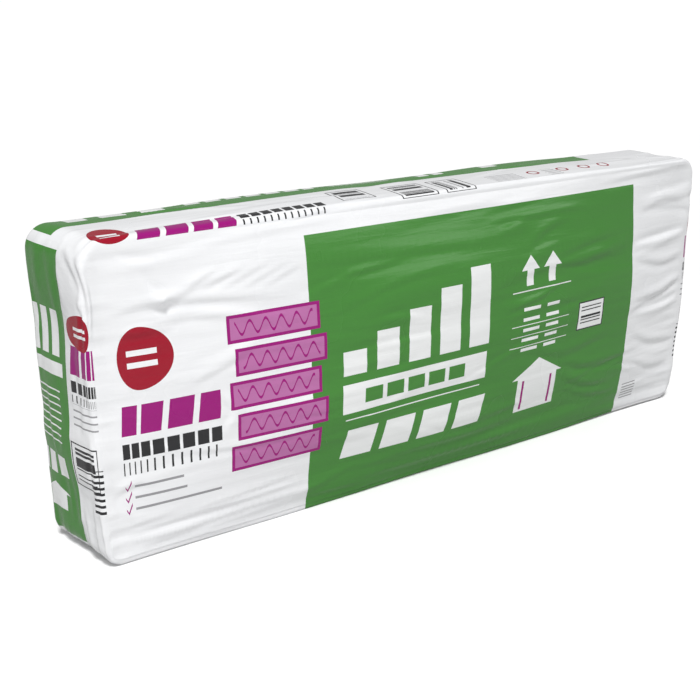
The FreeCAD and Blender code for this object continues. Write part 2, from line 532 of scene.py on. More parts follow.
FRONT_CREASES = (
    # A pinch high on the left of the front, with long folds running out of it.
    Crease(((-0.472, 0.384), (-0.417, 0.380), (-0.342, 0.371), (-0.255, 0.361)),
           0.0020, 0.0046, 0.0093, Fade.FROM_START),
    Crease(((-0.472, 0.384), (-0.430, 0.397), (-0.369, 0.411), (-0.262, 0.419)),
           0.0017, 0.0034, 0.0102, Fade.FROM_START),
    Crease(((-0.472, 0.384), (-0.490, 0.406), (-0.512, 0.428)),
           0.0024, 0.0041, 0.0093, Fade.FROM_START),
    Crease(((-0.472, 0.384), (-0.517, 0.383), (-0.566, 0.377)),
           0.0020, -0.0044, 0.0102, Fade.FROM_START),
    # Short slanting ripples between the two long folds.
    Crease(((-0.440, 0.398), (-0.391, 0.419)), 0.0010, 0.0021, 0.0059),
    Crease(((-0.416, 0.393), (-0.350, 0.416)), 0.0010, 0.0021, 0.0059),
    Crease(((-0.386, 0.390), (-0.312, 0.416)), 0.0010, 0.0020, 0.0059),
    Crease(((-0.352, 0.387), (-0.280, 0.413)), 0.0010, 0.0018, 0.0059),
    Crease(((-0.320, 0.384), (-0.258, 0.407)), 0.0008, 0.0017, 0.0059),
    Crease(((-0.430, 0.353), (-0.329, 0.346)), 0.0010, 0.0018, 0.0102),
    # Folds beside the small print.
    Crease(((-0.440, 0.262), (-0.388, 0.279), (-0.340, 0.298)), 0.0012, 0.0025, 0.0093),
    Crease(((-0.405, 0.240), (-0.378, 0.206), (-0.398, 0.174)), 0.0010, 0.0025, 0.0085),
    # Lengthwise folds low on the left.
    Crease(((-0.566, 0.045), (-0.464, 0.051), (-0.349, 0.055), (-0.250, 0.060)),
           0.0027, 0.0023, 0.0059),
    Crease(((-0.560, 0.032), (-0.432, 0.033), (-0.270, 0.041)), 0.0024, 0.0018, 0.0051),
    Crease(((-0.558, 0.061), (-0.470, 0.065)), 0.0017, 0.0018, 0.0051),
    Crease(((-0.440, 0.061), (-0.275, 0.072)), 0.0020, 0.0021, 0.0059),
    # Long soft folds over the green panel.
    Crease(((-0.242, 0.407), (-0.046, 0.398), (0.170, 0.389)), 0.0014, 0.0030, 0.0136),
    Crease(((0.110, 0.322), (0.205, 0.330), (0.301, 0.328), (0.430, 0.334)),
           0.0014, 0.0051, 0.0145),
    Crease(((0.090, 0.345), (0.250, 0.352), (0.400, 0.372)), 0.0005, 0.0023, 0.0127),
    Crease(((-0.110, 0.062), (0.050, 0.058), (0.170, 0.062)), 0.0014, 0.0028, 0.0102),
    Crease(((-0.200, 0.034), (0.020, 0.030), (0.250, 0.036)), 0.0015, 0.0028, 0.0085),
    # Facets low on the right of the panel.
    Crease(((0.270, 0.150), (0.345, 0.128), (0.440, 0.134)), 0.0014, 0.0037, 0.0110),
    Crease(((0.276, 0.122), (0.340, 0.092), (0.420, 0.080)), 0.0014, 0.0039, 0.0102),
    Crease(((0.288, 0.090), (0.350, 0.068), (0.430, 0.056)), 0.0010, 0.0030, 0.0085),
    Crease(((0.180, 0.190), (0.280, 0.165), (0.400, 0.186)), 0.0008, 0.0028, 0.0119),
    # Sharp folds in the plain film beside the right end.
    Crease(((0.446, 0.336), (0.521, 0.338), (0.600, 0.344)), 0.0037, -0.0071, 0.0093),
    Crease(((0.450, 0.312), (0.530, 0.292), (0.600, 0.296)), 0.0017, 0.0044, 0.0110),
    Crease(((0.458, 0.232), (0.537, 0.236), (0.598, 0.252)), 0.0027, 0.0057, 0.0102),
    Crease(((0.470, 0.204), (0.550, 0.206), (0.600, 0.216)), 0.0024, -0.0046, 0.0085),
    Crease(((0.462, 0.165), (0.520, 0.140), (0.596, 0.132)), 0.0017, 0.0044, 0.0110),
    Crease(((0.470, 0.110), (0.530, 0.086), (0.596, 0.084)), 0.0017, 0.0034, 0.0093),
    Crease(((0.470, 0.400), (0.530, 0.412), (0.596, 0.404)), 0.0014, 0.0028, 0.0102),
)

END_CREASES = (
    # The tuck that runs down the end face from its top front corner, and its branches.
    Crease(((-0.655, 0.462), (-0.634, 0.432), (-0.622, 0.395), (-0.627, 0.345)),
           0.0020, 0.0067, 0.0093),
    Crease(((-0.690, 0.468), (-0.660, 0.440), (-0.640, 0.414)), 0.0014, 0.0046, 0.0085),
    Crease(((-0.650, 0.400), (-0.640, 0.372), (-0.652, 0.345)), 0.0014, 0.0039, 0.0076),
    # Gathers low on the end, where the film is drawn in under the bag.
    Crease(((-0.690, 0.080), (-0.682, 0.045), (-0.676, 0.012)), 0.0024, 0.0034, 0.0059),
    Crease(((-0.664, 0.096), (-0.658, 0.050), (-0.654, 0.010)), 0.0020, 0.0030, 0.0051),
    Crease(((-0.640, 0.088), (-0.634, 0.046), (-0.630, 0.012)), 0.0020, 0.0030, 0.0051),
)


STRAY_CREASES = (
    CreaseZone((-0.56, 0.02), (0.58, 0.47), 60, False, 31),
    CreaseZone((-0.56, 0.50), (0.56, 0.67), 26, False, 37),
    CreaseZone((-0.58, 0.71), (0.58, 1.15), 70, False, 41),
    CreaseZone((-0.79, 0.02), (-0.64, 0.44), 22, True, 43),
    CreaseZone((0.63, 0.02), (0.80, 0.44), 26, True, 47),
)


# --------------------------------------------------------------------------- print


class Ink(Enum):
    """The inks on the film, each with its linear colour."""

    GREEN = (0.056, 0.222, 0.036)
    WHITE = (0.80, 0.81, 0.81)
    MAUVE = (0.46, 0.15, 0.36)
    MAGENTA = (0.30, 0.004, 0.17)
    CRIMSON = (0.31, 0.003, 0.018)
    GREY = (0.30, 0.30, 0.31)
    BLACK = (0.022, 0.022, 0.024)


class ShapeBook:
    """Draws flat shapes as masks in a node tree, from the film's u and v."""

    def __init__(self, tree: bpy.types.NodeTree, film: bpy.types.NodeSocket) -> None:
        """Keep the tree and split the film coordinates.

        Args:
            tree: the node tree that gets the shapes.
            film: vector socket with u and v.
        """
        self.tree = tree
        self.film = film
        split = tree.nodes.new("ShaderNodeSeparateXYZ")
        tree.links.new(film, split.inputs[0])
        self.u, self.v = split.outputs[0], split.outputs[1]

    def math(self, operation: str, *values: object) -> bpy.types.NodeSocket:
        """One Math node of sockets and numbers.

        Args:
            operation: the node's operation.
            values: up to three sockets or numbers.

        Returns:
            The node's output.
        """
        node = self.tree.nodes.new("ShaderNodeMath")
        node.operation = operation
        for socket, value in zip(node.inputs, values):
            if isinstance(value, bpy.types.NodeSocket):
                self.tree.links.new(value, socket)
            else:
                socket.default_value = value
        return node.outputs[0]

    def join(self, masks: list[bpy.types.NodeSocket]) -> bpy.types.NodeSocket:
        """Union of masks: their largest value.

        Args:
            masks: at least one mask.

        Returns:
            The mask.
        """
        joined = masks[0]
        for mask in masks[1:]:
            joined = self.math("MAXIMUM", joined, mask)
        return joined

    def cut(self, mask: bpy.types.NodeSocket, hole: bpy.types.NodeSocket) -> bpy.types.NodeSocket:
        """A mask with another taken out of it.

        Args:
            mask: what is kept.
            hole: what is taken out.

        Returns:
            The mask.
        """
        return self.math("MINIMUM", mask, self.math("SUBTRACT", 1.0, hole))

    def box(self, left: float, low: float, right: float, high: float) -> bpy.types.NodeSocket:
        """Upright rectangle between two corners.

        Args:
            left, low, right, high: the rectangle.

        Returns:
            The mask.
        """
        across = self.math("COMPARE", self.u, (left + right) / 2, (right - left) / 2)
        upward = self.math("COMPARE", self.v, (low + high) / 2, (high - low) / 2)
        return self.math("MULTIPLY", across, upward)

    def blocks(self, left: float, low: float, right: float, high: float, pitch: float,
               solid: float, slant: float = 0.0) -> bpy.types.NodeSocket:
        """Rectangle broken into equal blocks, which may lean.

        Args:
            left, low, right, high: the rectangle.
            pitch: from one block to the next.
            solid: share of the pitch that is block.
            slant: how far a block leans for each metre of rise.

        Returns:
            The mask.
        """
        lean = self.math("MULTIPLY_ADD", self.v, -slant, self.u)
        start = (slant * low - left) / pitch
        share = self.math("FRACT", self.math("MULTIPLY_ADD", lean, 1.0 / pitch, start))
        inside = self.math("LESS_THAN", share, solid)
        return self.math("MULTIPLY", self.box(left, low, right, high), inside)

    def rules(self, left: float, low: float, right: float, high: float, pitch: float,
              solid: float) -> bpy.types.NodeSocket:
        """Rectangle broken into equal level lines.

        Args:
            left, low, right, high: the rectangle.
            pitch: from one line to the next.
            solid: share of the pitch that is line.

        Returns:
            The mask.
        """
        share = self.math("FRACT", self.math("MULTIPLY_ADD", self.v, 1.0 / pitch, -low / pitch))
        inside = self.math("LESS_THAN", share, solid)
        return self.math("MULTIPLY", self.box(left, low, right, high), inside)

    def code_bars(self, left: float, low: float, right: float, high: float, step: float,
                  upright: bool) -> bpy.types.NodeSocket:
        """Rectangle filled with bars of uneven width that stand for nothing.

        Args:
            left, low, right, high: the rectangle.
            step: width of the narrowest bar.
            upright: bars that stand up, or else lie level.

        Returns:
            The mask.
        """
        noise = self.tree.nodes.new("ShaderNodeTexWhiteNoise")
        noise.noise_dimensions = "1D"
        across = self.u if upright else self.v
        number = self.math("FLOOR", self.math("MULTIPLY", across, 1.0 / step))
        self.tree.links.new(number, noise.inputs["W"])
        inside = self.math("GREATER_THAN", noise.outputs["Value"], 0.46)
        return self.math("MULTIPLY", self.box(left, low, right, high), inside)

    def disc(self, across: float, up: float, radius: float) -> bpy.types.NodeSocket:
        """Round spot about a centre.

        Args:
            across, up: the centre.
            radius: the spot's radius.

        Returns:
            The mask.
        """
        node = self.tree.nodes.new("ShaderNodeVectorMath")
        node.operation = "DISTANCE"
        self.tree.links.new(self.film, node.inputs[0])
        node.inputs[1].default_value = (across, up, 0.0)
        return self.math("LESS_THAN", node.outputs["Value"], radius)

    def gable(self, middle: float, low: float, high: float,
              half_width: float) -> bpy.types.NodeSocket:
        """Triangle that stands on its base.

        Args:
            middle: u of the peak.
            low, high: v of the base and the peak.
            half_width: half the base.

        Returns:
            The mask.
        """
        reach = self.math("ABSOLUTE", self.math("SUBTRACT", self.u, middle))
        rise = high - low
        limit = self.math("MULTIPLY_ADD", self.v, -half_width / rise, half_width * high / rise)
        inside = self.math("LESS_THAN", reach, limit)
        return self.math("MULTIPLY", inside, self.math("GREATER_THAN", self.v, low))

    def stroke(self, start: tuple[float, float], stop: tuple[float, float],
               thick: float) -> bpy.types.NodeSocket:
        """Slanting stroke with upright cut ends, from one point to another.

        Args:
            start, stop: the stroke's ends.
            thick: its thickness.

        Returns:
            The mask.
        """
        slope = (stop[1] - start[1]) / (stop[0] - start[0])
        line = self.math("MULTIPLY_ADD", self.u, slope, start[1] - slope * start[0])
        close = self.math("COMPARE", line, self.v, thick / 2 * math.hypot(1.0, slope))
        middle, half = (start[0] + stop[0]) / 2, abs(stop[0] - start[0]) / 2
        return self.math("MULTIPLY", close, self.math("COMPARE", self.u, middle, half))

    def wave(self, left: float, right: float, level: float, swing: float, pitch: float,
             thick: float) -> bpy.types.NodeSocket:
        """Level wavy line: v = level + swing * sin(2 pi u / pitch).

        Args:
            left, right: the line's ends.
            level, swing, pitch: as in the formula.
            thick: its thickness.

        Returns:
            The mask.
        """
        turn = self.math("SINE", self.math("MULTIPLY", self.u, 2 * math.pi / pitch))
        line = self.math("MULTIPLY_ADD", turn, swing, level)
        close = self.math("COMPARE", line, self.v, thick / 2)
        inside = self.math("COMPARE", self.u, (left + right) / 2, (right - left) / 2)
        return self.math("MULTIPLY", close, inside)


@dataclass(frozen=True)
class PrintLayout:
    """Where the plain generic print lies on the film, in u and v.

    Attributes:
        top_edge: v at the edge between the front and the top.
        end_edge: u at the edge between the front and the left end.
    """

    top_edge: float
    end_edge: float

    def green(self, book: ShapeBook) -> bpy.types.NodeSocket:
        """Front panel, band along the back of the top and strip down the back of the end.

        Args:
            book: what draws the shapes.

        Returns:
            The mask.
        """
        return book.join([
            book.box(-0.249, -0.030, 0.445, 0.448),
            book.box(-0.592, 0.601, 0.418, self.top_edge + 0.24),
            book.box(self.end_edge - 0.25, 0.018, self.end_edge - 0.090, 0.462),
        ])

    def white(self, book: ShapeBook) -> bpy.types.NodeSocket:
        """White marks on the green: rising bars, a plate, arrows, a table and a house.

        Args:
            book: what draws the shapes.

        Returns:
            The mask.
        """
        bars = [book.box(-0.194 + 0.061 * step, 0.223, -0.152 + 0.061 * step, 0.262 + 0.024 * step)
                for step in range(5)]
        arrows = []
        for middle in (0.182, 0.234):
            arrows.append(book.gable(middle, 0.334, 0.359, 0.021))
            arrows.append(book.box(middle - 0.008, 0.307, middle + 0.008, 0.336))
        plate = book.cut(book.box(-0.196, 0.161, 0.090, 0.209),
                         book.blocks(-0.155, 0.173, 0.048, 0.197, 0.0415, 0.80))
        house = book.join([book.box(0.170, 0.072, 0.264, 0.140),
                           book.gable(0.217, 0.136, 0.170, 0.060)])
        small = book.math("MULTIPLY", book.rules(0.150, 0.190, 0.272, 0.276, 0.0185, 0.32),
                          book.join([book.box(0.168, 0.18, 0.206, 0.28),
                                     book.box(0.222, 0.18, 0.252, 0.28)]))
        end = self.end_edge
        return book.join(bars + arrows + [
            plate, house, small,
            book.box(-0.190, 0.1485, 0.080, 0.1505),
            book.blocks(-0.194, 0.080, 0.098, 0.130, 0.0735, 0.78, 0.22),
            book.box(0.142, 0.2975, 0.280, 0.2995),
            book.rules(0.142, 0.199, 0.278, 0.240, 0.0195, 0.07),
            book.box(0.303, 0.202, 0.369, 0.255),
            book.blocks(-0.545, 0.628, -0.395, 0.678, 0.052, 0.62),
            book.blocks(-0.372, 0.640, -0.150, 0.664, 0.034, 0.74),
            book.rules(-0.120, 0.636, -0.010, 0.670, 0.009, 0.3),
            book.blocks(0.050, 0.632, 0.110, 0.676, 0.032, 0.66),
            book.box(0.190, 0.636, 0.224, 0.670),
            book.blocks(end - 0.205, 0.305, end - 0.102, 0.372, 0.027, 0.66),
            book.box(end - 0.205, 0.276, end - 0.100, 0.296),
            book.rules(end - 0.200, 0.175, end - 0.110, 0.262, 0.011, 0.22),
            book.blocks(end - 0.190, 0.118, end - 0.110, 0.152, 0.030, 0.7),
            book.gable(end - 0.150, 0.086, 0.102, 0.034),
            book.box(end - 0.174, 0.060, end - 0.126, 0.088),
        ])

    def mauve(self, book: ShapeBook) -> bpy.types.NodeSocket:
        """Fill of the stacked slabs of the pictogram beside the panel.

        Args:
            book: what draws the shapes.

        Returns:
            The mask.
        """
        return book.join([book.box(left + 0.005, low + 0.005, right - 0.005, high - 0.005)
                          for left, low, right, high in self.slabs()])

    @staticmethod
    def slabs() -> list[tuple[float, float, float, float]]:
        """Corners of the pictogram's five stacked slabs, staggered from side to side.

        Returns:
            Left, low, right and high of each slab.
        """
        rise, gap = 0.042, 0.008
        rows = []
        for row in range(5):
            low = 0.108 + row * (rise + gap)
            shift = 0.010 if row % 2 else 0.0
            rows.append((-0.382 + shift, low, -0.232 + shift, low + rise))
        return rows

    def magenta(self, book: ShapeBook) -> bpy.types.NodeSocket:
        """Slab outlines and wave lines, leaning blocks, ticks and the house's posts.

        Args:
            book: what draws the shapes.

        Returns:
            The mask.
        """
        shapes = []
        for left, low, right, high in self.slabs():
            fill = book.box(left + 0.005, low + 0.005, right - 0.005, high - 0.005)
            shapes.append(book.cut(book.box(left, low, right, high), fill))
            middle = (low + high) / 2
            shapes.append(book.wave(left + 0.012, right - 0.012, middle, 0.0095, 0.0252, 0.0045))
        for level in (0.122, 0.104, 0.086):
            shapes.append(book.stroke((-0.549, level), (-0.544, level - 0.006), 0.0022))
            shapes.append(book.stroke((-0.544, level - 0.006), (-0.535, level + 0.008), 0.0026))
        end = self.end_edge
        return book.join(shapes + [
            book.blocks(-0.549, 0.200, -0.397, 0.244, 0.0395, 0.80, 0.12),
            book.blocks(-0.489, 0.490, -0.350, 0.536, 0.036, 0.80, 0.12),
            book.blocks(end - 0.080, 0.289, end - 0.018, 0.331, 0.0165, 0.78, 0.05),
            book.box(0.181, 0.076, 0.186, 0.132), book.box(0.248, 0.076, 0.253, 0.132),
        ])

    def crimson(self, book: ShapeBook) -> bpy.types.NodeSocket:
        """Plain crimson roundels with two bars left out, and small rings on the top.

        Args:
            book: what draws the shapes.

        Returns:
            The mask.
        """
        shapes = []
        for across, up, radius in ((-0.501, 0.310, 0.045), (-0.533, 0.525, 0.037),
                                   (self.end_edge - 0.057, 0.353, 0.026)):
            reach = radius * 0.55
            bars = [book.box(across - reach, up + radius * low, across + reach, up + radius * high)
                    for low, high in ((0.10, 0.28), (-0.28, -0.10))]
            shapes.append(book.cut(book.disc(across, up, radius), book.join(bars)))
        for across in (0.232, 0.300, 0.352, 0.400):
            hole = book.disc(across, 0.552, 0.008)
            shapes.append(book.cut(book.disc(across, 0.552, 0.012), hole))
        return book.join(shapes)

    def grey(self, book: ShapeBook) -> bpy.types.NodeSocket:
        """Fine lines where small print would stand.

        Args:
            book: what draws the shapes.

        Returns:
            The mask.
        """
        end = self.end_edge
        return book.join([
            book.box(-0.528, 0.1195, -0.452, 0.1235), book.box(-0.528, 0.1015, -0.448, 0.1055),
            book.box(-0.528, 0.0835, -0.398, 0.0875),
            book.rules(0.456, 0.030, 0.494, 0.066, 0.006, 0.36),
            book.rules(0.132, 0.520, 0.196, 0.566, 0.008, 0.3),
            book.rules(0.255, 0.525, 0.284, 0.566, 0.010, 0.3),
            book.rules(end - 0.080, 0.214, end - 0.022, 0.246, 0.0105, 0.24),
        ])

    def black(self, book: ShapeBook) -> bpy.types.NodeSocket:
        """Block rows, thin rules, framed bar fields and the bars inside them.

        Args:
            book: what draws the shapes.

        Returns:
            The mask.
        """
        end = self.end_edge
        shapes = [
            book.blocks(-0.549, 0.165, -0.394, 0.188, 0.0195, 0.80),
            book.blocks(-0.549, 0.140, -0.398, 0.160, 0.0118, 0.22),
            book.blocks(-0.341, 0.514, -0.200, 0.536, 0.0180, 0.80),
            book.blocks(-0.341, 0.490, -0.200, 0.508, 0.0110, 0.24),
            book.blocks(end - 0.080, 0.263, end - 0.018, 0.280, 0.0085, 0.76),
            book.blocks(end - 0.080, 0.248, end - 0.020, 0.259, 0.0055, 0.26),
            book.rules(end - 0.060, 0.088, end - 0.016, 0.156, 0.0095, 0.45),
        ]
        framed = ((0.303, 0.202, 0.369, 0.255, False), (-0.165, 0.527, -0.105, 0.586, False),
                  (-0.066, 0.500, 0.004, 0.580, False), (0.020, 0.500, 0.080, 0.578, True),
                  (end - 0.088, 0.120, end - 0.036, 0.188, False))
        line, margin = 0.0022, 0.0075
        for left, low, right, high, upright in framed:
            inner = book.box(left + line, low + line, right - line, high - line)
            shapes.append(book.cut(book.box(left, low, right, high), inner))
            shapes.append(book.code_bars(left + margin, low + margin, right - margin,
                                         high - margin, 0.0021, upright))
        return book.join(shapes)

    def node_group(self) -> bpy.types.NodeTree:
        """Build the print as one node group: film coordinates in, a mask for each ink out.

        Returns:
            The group.
        """
        group = bpy.data.node_groups.new("film_print", "ShaderNodeTree")
        group.interface.new_socket("Film", in_out="INPUT", socket_type="NodeSocketVector")
        drawn = {Ink.GREEN: self.green, Ink.WHITE: self.white, Ink.MAUVE: self.mauve,
                 Ink.MAGENTA: self.magenta, Ink.CRIMSON: self.crimson, Ink.GREY: self.grey,
                 Ink.BLACK: self.black}
        for ink in drawn:
            group.interface.new_socket(ink.name.title(), in_out="OUTPUT",
                                       socket_type="NodeSocketFloat")
        enter = group.nodes.new("NodeGroupInput")
        leave = group.nodes.new("NodeGroupOutput")
        book = ShapeBook(group, enter.outputs["Film"])
        for ink, draw in drawn.items():
            group.links.new(draw(book), leave.inputs[ink.name.title()])
        return group


# --------------------------------------------------------------------------- finishes


def stretched_grain_group() -> bpy.types.NodeTree:
    """Fine uneven grain that is longer along one axis, for drawn film and for wool fibre.

    Returns:
        The group.
    """
    group = bpy.data.node_groups.new("stretched_grain", "ShaderNodeTree")
    group.interface.new_socket("Place", in_out="INPUT", socket_type="NodeSocketVector")
    for name, value in (("Along", 10.0), ("Across", 60.0), ("Contrast", 1.0)):
        socket = group.interface.new_socket(name, in_out="INPUT", socket_type="NodeSocketFloat")
        socket.default_value = value
    group.interface.new_socket("Height", in_out="OUTPUT", socket_type="NodeSocketFloat")
    enter = group.nodes.new("NodeGroupInput")
    leave = group.nodes.new("NodeGroupOutput")
    spread = group.nodes.new("ShaderNodeCombineXYZ")
    group.links.new(enter.outputs["Along"], spread.inputs[0])
    group.links.new(enter.outputs["Across"], spread.inputs[1])
    group.links.new(enter.outputs["Across"], spread.inputs[2])
    scaled = group.nodes.new("ShaderNodeVectorMath")
    scaled.operation = "MULTIPLY"
    group.links.new(enter.outputs["Place"], scaled.inputs[0])
    group.links.new(spread.outputs[0], scaled.inputs[1])
    noise = group.nodes.new("ShaderNodeTexNoise")
    noise.inputs["Scale"].default_value = 1.0
    noise.inputs["Detail"].default_value = 5.0
    noise.inputs["Roughness"].default_value = 0.55
    noise.inputs["Distortion"].default_value = 0.35
    group.links.new(scaled.outputs[0], noise.inputs["Vector"])
    contrast = group.nodes.new("ShaderNodeMath")
    contrast.operation = "MULTIPLY"
    group.links.new(noise.outputs["Fac"], contrast.inputs[0])
    group.links.new(enter.outputs["Contrast"], contrast.inputs[1])
    group.links.new(contrast.outputs[0], leave.inputs["Height"])
    return group


@dataclass(frozen=True)
class FilmFinish:
    """Printed polyethylene film: soft gloss, fine drawn grain, flat inks."""

    print_group: bpy.types.NodeTree
    grain_group: bpy.types.NodeTree
    bare: tuple[float, float, float] = (0.845, 0.850, 0.860)
    shaded: tuple[float, float, float] = (0.760, 0.768, 0.785)
    roughness: float = 0.25

    def material(self) -> bpy.types.Material:
        """Build the film's material.

        Returns:
            The material.
        """
        made = bpy.data.materials.new("printed_film")
        made.use_nodes = True
        nodes, links = made.node_tree.nodes, made.node_tree.links
        shader = nodes["Principled BSDF"]
        shader.inputs["Specular IOR Level"].default_value = 0.36
        place = nodes.new("ShaderNodeTexCoord")
        film = nodes.new("ShaderNodeUVMap")
        film.uv_map = PRINT_MAP
        marks = nodes.new("ShaderNodeGroup")
        marks.node_tree = self.print_group
        links.new(film.outputs[0], marks.inputs["Film"])
        cloud = nodes.new("ShaderNodeTexNoise")
        cloud.inputs["Scale"].default_value = 7.0
        cloud.inputs["Detail"].default_value = 3.0
        links.new(place.outputs["Object"], cloud.inputs["Vector"])
        colour = self.mix(made, cloud.outputs["Fac"], self.bare, self.shaded)
        for ink in Ink:
            colour = self.mix(made, marks.outputs[ink.name.title()], colour, ink.value)
        links.new(colour, shader.inputs["Base Color"])
        grain = nodes.new("ShaderNodeGroup")
        grain.node_tree = self.grain_group
        grain.inputs["Along"].default_value = 9.0
        grain.inputs["Across"].default_value = 95.0
        links.new(place.outputs["Object"], grain.inputs["Place"])
        bump = nodes.new("ShaderNodeBump")
        bump.inputs["Strength"].default_value = 0.30
        bump.inputs["Distance"].default_value = 0.0022
        links.new(grain.outputs["Height"], bump.inputs["Height"])
        links.new(bump.outputs["Normal"], shader.inputs["Normal"])
        gloss = nodes.new("ShaderNodeMapRange")
        gloss.inputs["To Min"].default_value = self.roughness - 0.07
        gloss.inputs["To Max"].default_value = self.roughness + 0.09
        links.new(cloud.outputs["Fac"], gloss.inputs["Value"])
        links.new(gloss.outputs["Result"], shader.inputs["Roughness"])
        return made

    @staticmethod
    def mix(made: bpy.types.Material, factor: bpy.types.NodeSocket, under: object,
            over: object) -> bpy.types.NodeSocket:
        """Lay one colour over another by a mask.

        Args:
            made: the material.
            factor: 0 shows under, 1 shows over.
            under, over: colours, or sockets that carry one.

        Returns:
            The mixed colour's socket.
        """
        node = made.node_tree.nodes.new("ShaderNodeMix")
        node.data_type = "RGBA"
        made.node_tree.links.new(factor, node.inputs["Factor"])
        for name, value in (("A", under), ("B", over)):
            socket = next(item for item in node.inputs
                          if item.name == name and item.type == "RGBA")
            if isinstance(value, bpy.types.NodeSocket):
                made.node_tree.links.new(value, socket)
            else:
                socket.default_value = (*value, 1.0)
        return next(item for item in node.outputs if item.type == "RGBA")


@dataclass(frozen=True)
class WoolFinish:
    """Pressed glass wool: matt, pale yellow, with fibres in level layers."""

    grain_group: bpy.types.NodeTree
    light: tuple[float, float, float] = (0.84, 0.72, 0.38)
    dark: tuple[float, float, float] = (0.62, 0.47, 0.19)

    def material(self) -> bpy.types.Material:
        """Build the wool's material.

        Returns:
            The material.
        """
        made = bpy.data.materials.new("pressed_glass_wool")
        made.use_nodes = True
        nodes, links = made.node_tree.nodes, made.node_tree.links
        shader = nodes["Principled BSDF"]
        shader.inputs["Roughness"].default_value = 0.92
        shader.inputs["Sheen Weight"].default_value = 0.25
        place = nodes.new("ShaderNodeTexCoord")
        grain = nodes.new("ShaderNodeGroup")
        grain.node_tree = self.grain_group
        grain.inputs["Along"].default_value = 70.0
        grain.inputs["Across"].default_value = 420.0
        links.new(place.outputs["Object"], grain.inputs["Place"])
        colour = FilmFinish.mix(made, grain.outputs["Height"], self.dark, self.light)
        links.new(colour, shader.inputs["Base Color"])
        bump = nodes.new("ShaderNodeBump")
        bump.inputs["Strength"].default_value = 0.8
        bump.inputs["Distance"].default_value = 0.0015
        links.new(grain.outputs["Height"], bump.inputs["Height"])
        links.new(bump.outputs["Normal"], shader.inputs["Normal"])
        return made


# --------------------------------------------------------------------------- batts


@dataclass
class FoldedBatt:
    """One batt: a soft slab folded over at its -X end and pressed flat between its neighbours.

    Attributes:
        name: the CAD node that it stands for.
        low, high: corners of the CAD node's box.
        skin: the bag that presses it.
        clearance: room between the batt and the skin's front and back.
        end_clearance: room between the batt and the rounding of the skin's ends.
    """

    name: str
    low: np.ndarray
    high: np.ndarray
    skin: BagSkin
    clearance: float = 0.009
    end_clearance: float = 0.030
    slit: float = 0.0012
    ring_points: int = 36
    leaf_stations: int = 64

    def centre_line(self) -> tuple[np.ndarray, np.ndarray]:
        """Path from the lower leaf's open end, round the fold, to the upper leaf's open end.

        Two level lines joined by a half circle about the middle of the batt's height.

        Returns:
            N x 2 places in x and z, and the N x 2 unit normals of the path.
        """
        middle = (self.low[2] + self.high[2]) / 2.0
        rise = (self.high[2] - self.low[2]) / 4.0
        bend = self.leaf_bend()
        reach = self.skin.length / 2.0 - self.skin.edge_round - self.end_clearance
        leaf = np.linspace(reach, bend - reach, self.leaf_stations)
        turn = np.linspace(0.0, np.pi, 12)[1:-1]
        x = np.concatenate([leaf, bend - reach - rise * np.sin(turn), leaf[::-1]])
        z = np.concatenate([np.full_like(leaf, middle - rise), middle - rise * np.cos(turn),
                            np.full_like(leaf, middle + rise)])
        tangent = np.gradient(np.stack([x, z], axis=1), axis=0)
        tangent /= np.linalg.norm(tangent, axis=1, keepdims=True)
        return np.stack([x, z], axis=1), np.stack([-tangent[:, 1], tangent[:, 0]], axis=1)

    def leaf_bend(self) -> float:
        """Radius at the outside of the fold: half the folded batt's height.

        Returns:
            The radius.
        """
        return (self.high[2] - self.low[2]) / 2.0

    def half_widths(self, x: np.ndarray, z: np.ndarray) -> np.ndarray:
        """Half the batt's width along its path: the skin's form, less the clearance.

        Args:
            x, z: places along the path.

        Returns:
            The half widths.
        """
        half = np.array([self.skin.length, self.skin.width, self.skin.height]) / 2.0
        cube = np.stack([x / half[0], np.ones_like(x), (z - half[2]) / half[2]], axis=1)
        return np.abs(self.skin.form(cube)[:, 1]) - self.clearance

    def build(self) -> bpy.types.Object:
        """Sweep a flattened ring along the path and close both open ends.

        The ring is a superellipse with exponent 6 across the leaf: its points are
        sign(cos a)|cos a|^(1/3) and sign(sin a)|sin a|^(1/3), scaled to the leaf's half width
        and half thickness, with a fibrous unevenness of under half a millimetre.

        Returns:
            The batt, at the origin.
        """
        path, normal = self.centre_line()
        thick = (self.leaf_bend() - self.slit) / 2.0
        angle = np.linspace(0.0, 2 * np.pi, self.ring_points, endpoint=False)
        across = np.sign(np.cos(angle)) * np.abs(np.cos(angle)) ** (1 / 3)
        through = np.sign(np.sin(angle)) * np.abs(np.sin(angle)) ** (1 / 3)
        width = self.half_widths(path[:, 0], path[:, 1])
        end_round = np.ones(len(path))
        end_round[[0, -1]] = 0.82
        x = path[:, None, 0] + thick * normal[:, None, 0] * through * end_round[:, None]
        z = path[:, None, 1] + thick * normal[:, None, 1] * through * end_round[:, None]
        y = width[:, None] * across * end_round[:, None] ** 0.1
        points = np.stack([x, y, z], axis=2).reshape(-1, 3)
        rough = 0.0004 * value_noise(points, (0.02, 0.02, 0.01), 23)
        points[:, 1] += rough * np.sign(points[:, 1])
        stations, ring = len(path), self.ring_points
        start = np.arange(stations - 1)[:, None] * ring
        here = np.arange(ring)[None, :]
        after = (here + 1) % ring
        quads = np.stack([start + here, start + after, start + ring + after,
                          start + ring + here], axis=2)
        half = ring // 2
        step = np.arange(half - 1)
        opposite = (ring - step) % ring
        cap = np.stack([step, opposite, (ring - step - 1) % ring, step + 1], axis=1)
        last = (stations - 1) * ring
        quads = np.concatenate([quads.reshape(-1, 4), cap[1:, ::1], cap[1:, ::-1] + last])
        return mesh_object(f"wool_{self.name}", points, quads)


# --------------------------------------------------------------------------- studio


